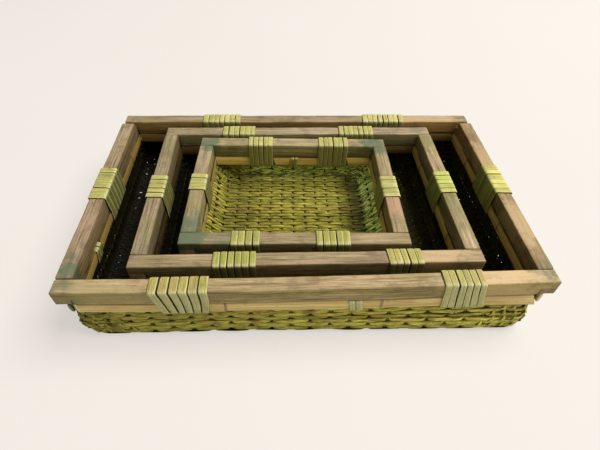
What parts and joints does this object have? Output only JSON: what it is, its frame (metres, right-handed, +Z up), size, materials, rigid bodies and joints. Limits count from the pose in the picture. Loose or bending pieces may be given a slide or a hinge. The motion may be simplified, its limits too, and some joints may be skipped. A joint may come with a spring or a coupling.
{
  "type": "nest of rectangular woven trays",
  "caption": "Nest of shallow rectangular woven rush trays with lapped wooden rims, each lifting out of the next larger one.",
  "frame": {"origin": "middle of the large tray's flat base, on the surface that it stands on", "axes": "+X along the long sides to the right, +Y to the back, +Z up"},
  "size_m": [0.452, 0.2784, 0.0748],
  "materials": {
    "weathered_wood": "bare, weathered grey-brown with green stains at the corners",
    "split_bamboo": "natural skin, satin, golden brown",
    "woven_rush": "dried olive to yellow-green strands, slight sheen",
    "lashing_strap": "flat split strands, pale yellow-green, satin"
  },
  "bodies": {
    "large_tray": {"large_front_rail": "weathered_wood", "large_back_rail": "weathered_wood", "large_left_rail": "weathered_wood", "large_right_rail": "weathered_wood", "large_front_outer_strip": "split_bamboo", "large_front_inner_strip": "split_bamboo", "large_back_outer_strip": "split_bamboo", "large_back_inner_strip": "split_bamboo", "large_left_outer_strip": "split_bamboo", "large_left_inner_strip": "split_bamboo", "large_right_outer_strip": "split_bamboo", "large_right_inner_strip": "split_bamboo", "large_woven_body": "woven_rush", "large_front_left_lashing": "lashing_strap", "large_front_right_lashing": "lashing_strap", "large_back_left_lashing": "lashing_strap", "large_back_right_lashing": "lashing_strap", "large_left_lashing": "lashing_strap", "large_right_lashing": "lashing_strap", "large_front_tie": "lashing_strap", "large_left_tie": "lashing_strap"},
    "medium_tray": {"medium_front_rail": "weathered_wood", "medium_back_rail": "weathered_wood", "medium_left_rail": "weathered_wood", "medium_right_rail": "weathered_wood", "medium_front_outer_strip": "split_bamboo", "medium_front_inner_strip": "split_bamboo", "medium_back_outer_strip": "split_bamboo", "medium_back_inner_strip": "split_bamboo", "medium_left_outer_strip": "split_bamboo", "medium_left_inner_strip": "split_bamboo", "medium_right_outer_strip": "split_bamboo", "medium_right_inner_strip": "split_bamboo", "medium_woven_body": "woven_rush", "medium_front_left_lashing": "lashing_strap", "medium_front_right_lashing": "lashing_strap", "medium_back_left_lashing": "lashing_strap", "medium_back_right_lashing": "lashing_strap", "medium_left_lashing": "lashing_strap", "medium_right_lashing": "lashing_strap"},
    "small_tray": {"small_front_rail": "weathered_wood", "small_back_rail": "weathered_wood", "small_left_rail": "weathered_wood", "small_right_rail": "weathered_wood", "small_front_outer_strip": "split_bamboo", "small_front_inner_strip": "split_bamboo", "small_back_outer_strip": "split_bamboo", "small_back_inner_strip": "split_bamboo", "small_left_outer_strip": "split_bamboo", "small_left_inner_strip": "split_bamboo", "small_right_outer_strip": "split_bamboo", "small_right_inner_strip": "split_bamboo", "small_woven_body": "woven_rush", "small_front_left_lashing": "lashing_strap", "small_front_right_lashing": "lashing_strap", "small_back_left_lashing": "lashing_strap", "small_back_right_lashing": "lashing_strap", "small_left_lashing": "lashing_strap", "small_right_lashing": "lashing_strap", "small_back_tie": "lashing_strap"}
  },
  "joints": [
    {"name": "medium_lift", "type": "slide", "parent": "large_tray", "child": "medium_tray", "axis": [0, 0, 1], "range_m": [0, 0.09]},
    {"name": "small_lift", "type": "slide", "parent": "medium_tray", "child": "small_tray", "axis": [0, 0, 1], "range_m": [0, 0.08]}
  ]
}
